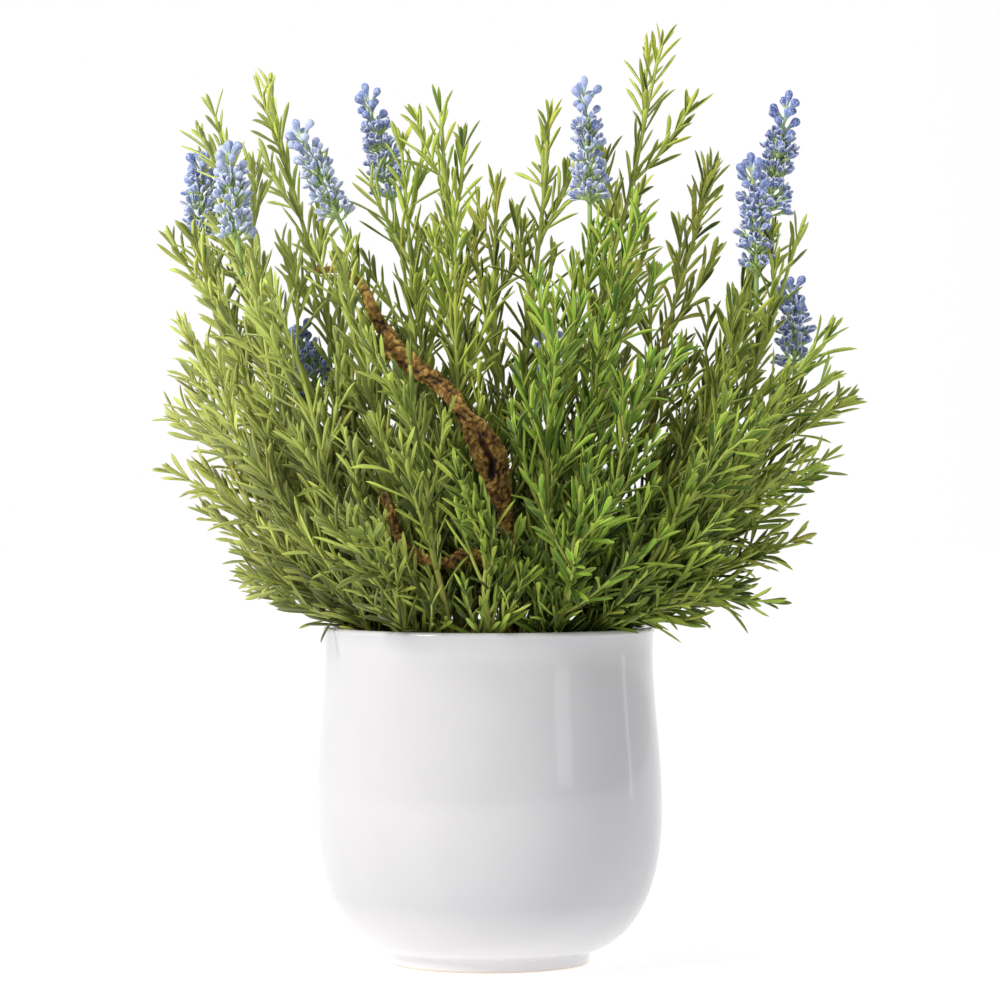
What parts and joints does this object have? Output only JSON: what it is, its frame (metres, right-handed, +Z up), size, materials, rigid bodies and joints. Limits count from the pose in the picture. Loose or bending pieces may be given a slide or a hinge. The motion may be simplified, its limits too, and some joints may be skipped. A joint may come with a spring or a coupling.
{
  "type": "potted rosemary plant",
  "caption": "Flowering rosemary in a rounded white glazed pot: leafy upright sprigs, blue flower spikes and a gnarled woody trunk.",
  "frame": {"origin": "centre of the pot's flat foot, on the surface that the pot stands on", "axes": "+Z up along the pot's axis; +X to the right as seen from the front; -Y towards the viewer in front, on the side where the woody trunk shows"},
  "size_m": [0.2699, 0.2307, 0.3766],
  "materials": {
    "glazed_stoneware": "gloss",
    "potting_soil": "matte",
    "bark": "matte",
    "foliage": "matte",
    "flowers": "matte"
  },
  "bodies": {
    "root": {"pot": "glazed_stoneware", "potting_soil": "potting_soil", "woody_trunk": "bark", "sprig_01": "foliage", "sprig_02": "foliage", "sprig_03": "foliage", "sprig_04": "foliage", "sprig_05": "foliage", "sprig_06": "foliage", "sprig_07": "foliage", "sprig_08": "foliage", "sprig_09": "foliage", "sprig_10": "foliage", "sprig_11": "foliage", "sprig_12": "foliage", "sprig_13": "foliage", "sprig_14": "foliage", "sprig_15": "foliage", "sprig_16": "foliage", "sprig_17": "foliage", "sprig_18": "foliage", "sprig_19": "foliage", "sprig_20": "foliage", "sprig_21": "foliage", "sprig_22": "foliage", "sprig_23": "foliage", "sprig_24": "foliage", "sprig_25": "foliage", "sprig_26": "foliage", "sprig_27": "foliage", "sprig_28": "foliage", "sprig_29": "foliage", "sprig_30": "foliage", "sprig_31": "foliage", "sprig_32": "foliage", "sprig_33": "foliage", "sprig_34": "foliage", "sprig_35": "foliage", "sprig_36": "foliage", "sprig_37": "foliage", "sprig_38": "foliage", "sprig_39": "foliage", "sprig_40": "foliage", "sprig_41": "foliage", "sprig_42": "foliage", "sprig_43": "foliage", "sprig_44": "foliage", "sprig_45": "foliage", "sprig_46": "foliage", "flower_spike_01": "flowers", "flower_spike_02": "flowers", "flower_spike_03": "flowers", "flower_spike_04": "flowers", "flower_spike_05": "flowers", "flower_spike_06": "flowers", "flower_spike_07": "flowers", "flower_spike_08": "flowers", "flower_spike_09": "flowers", "flower_spike_10": "flowers"}
  },
  "joints": []
}
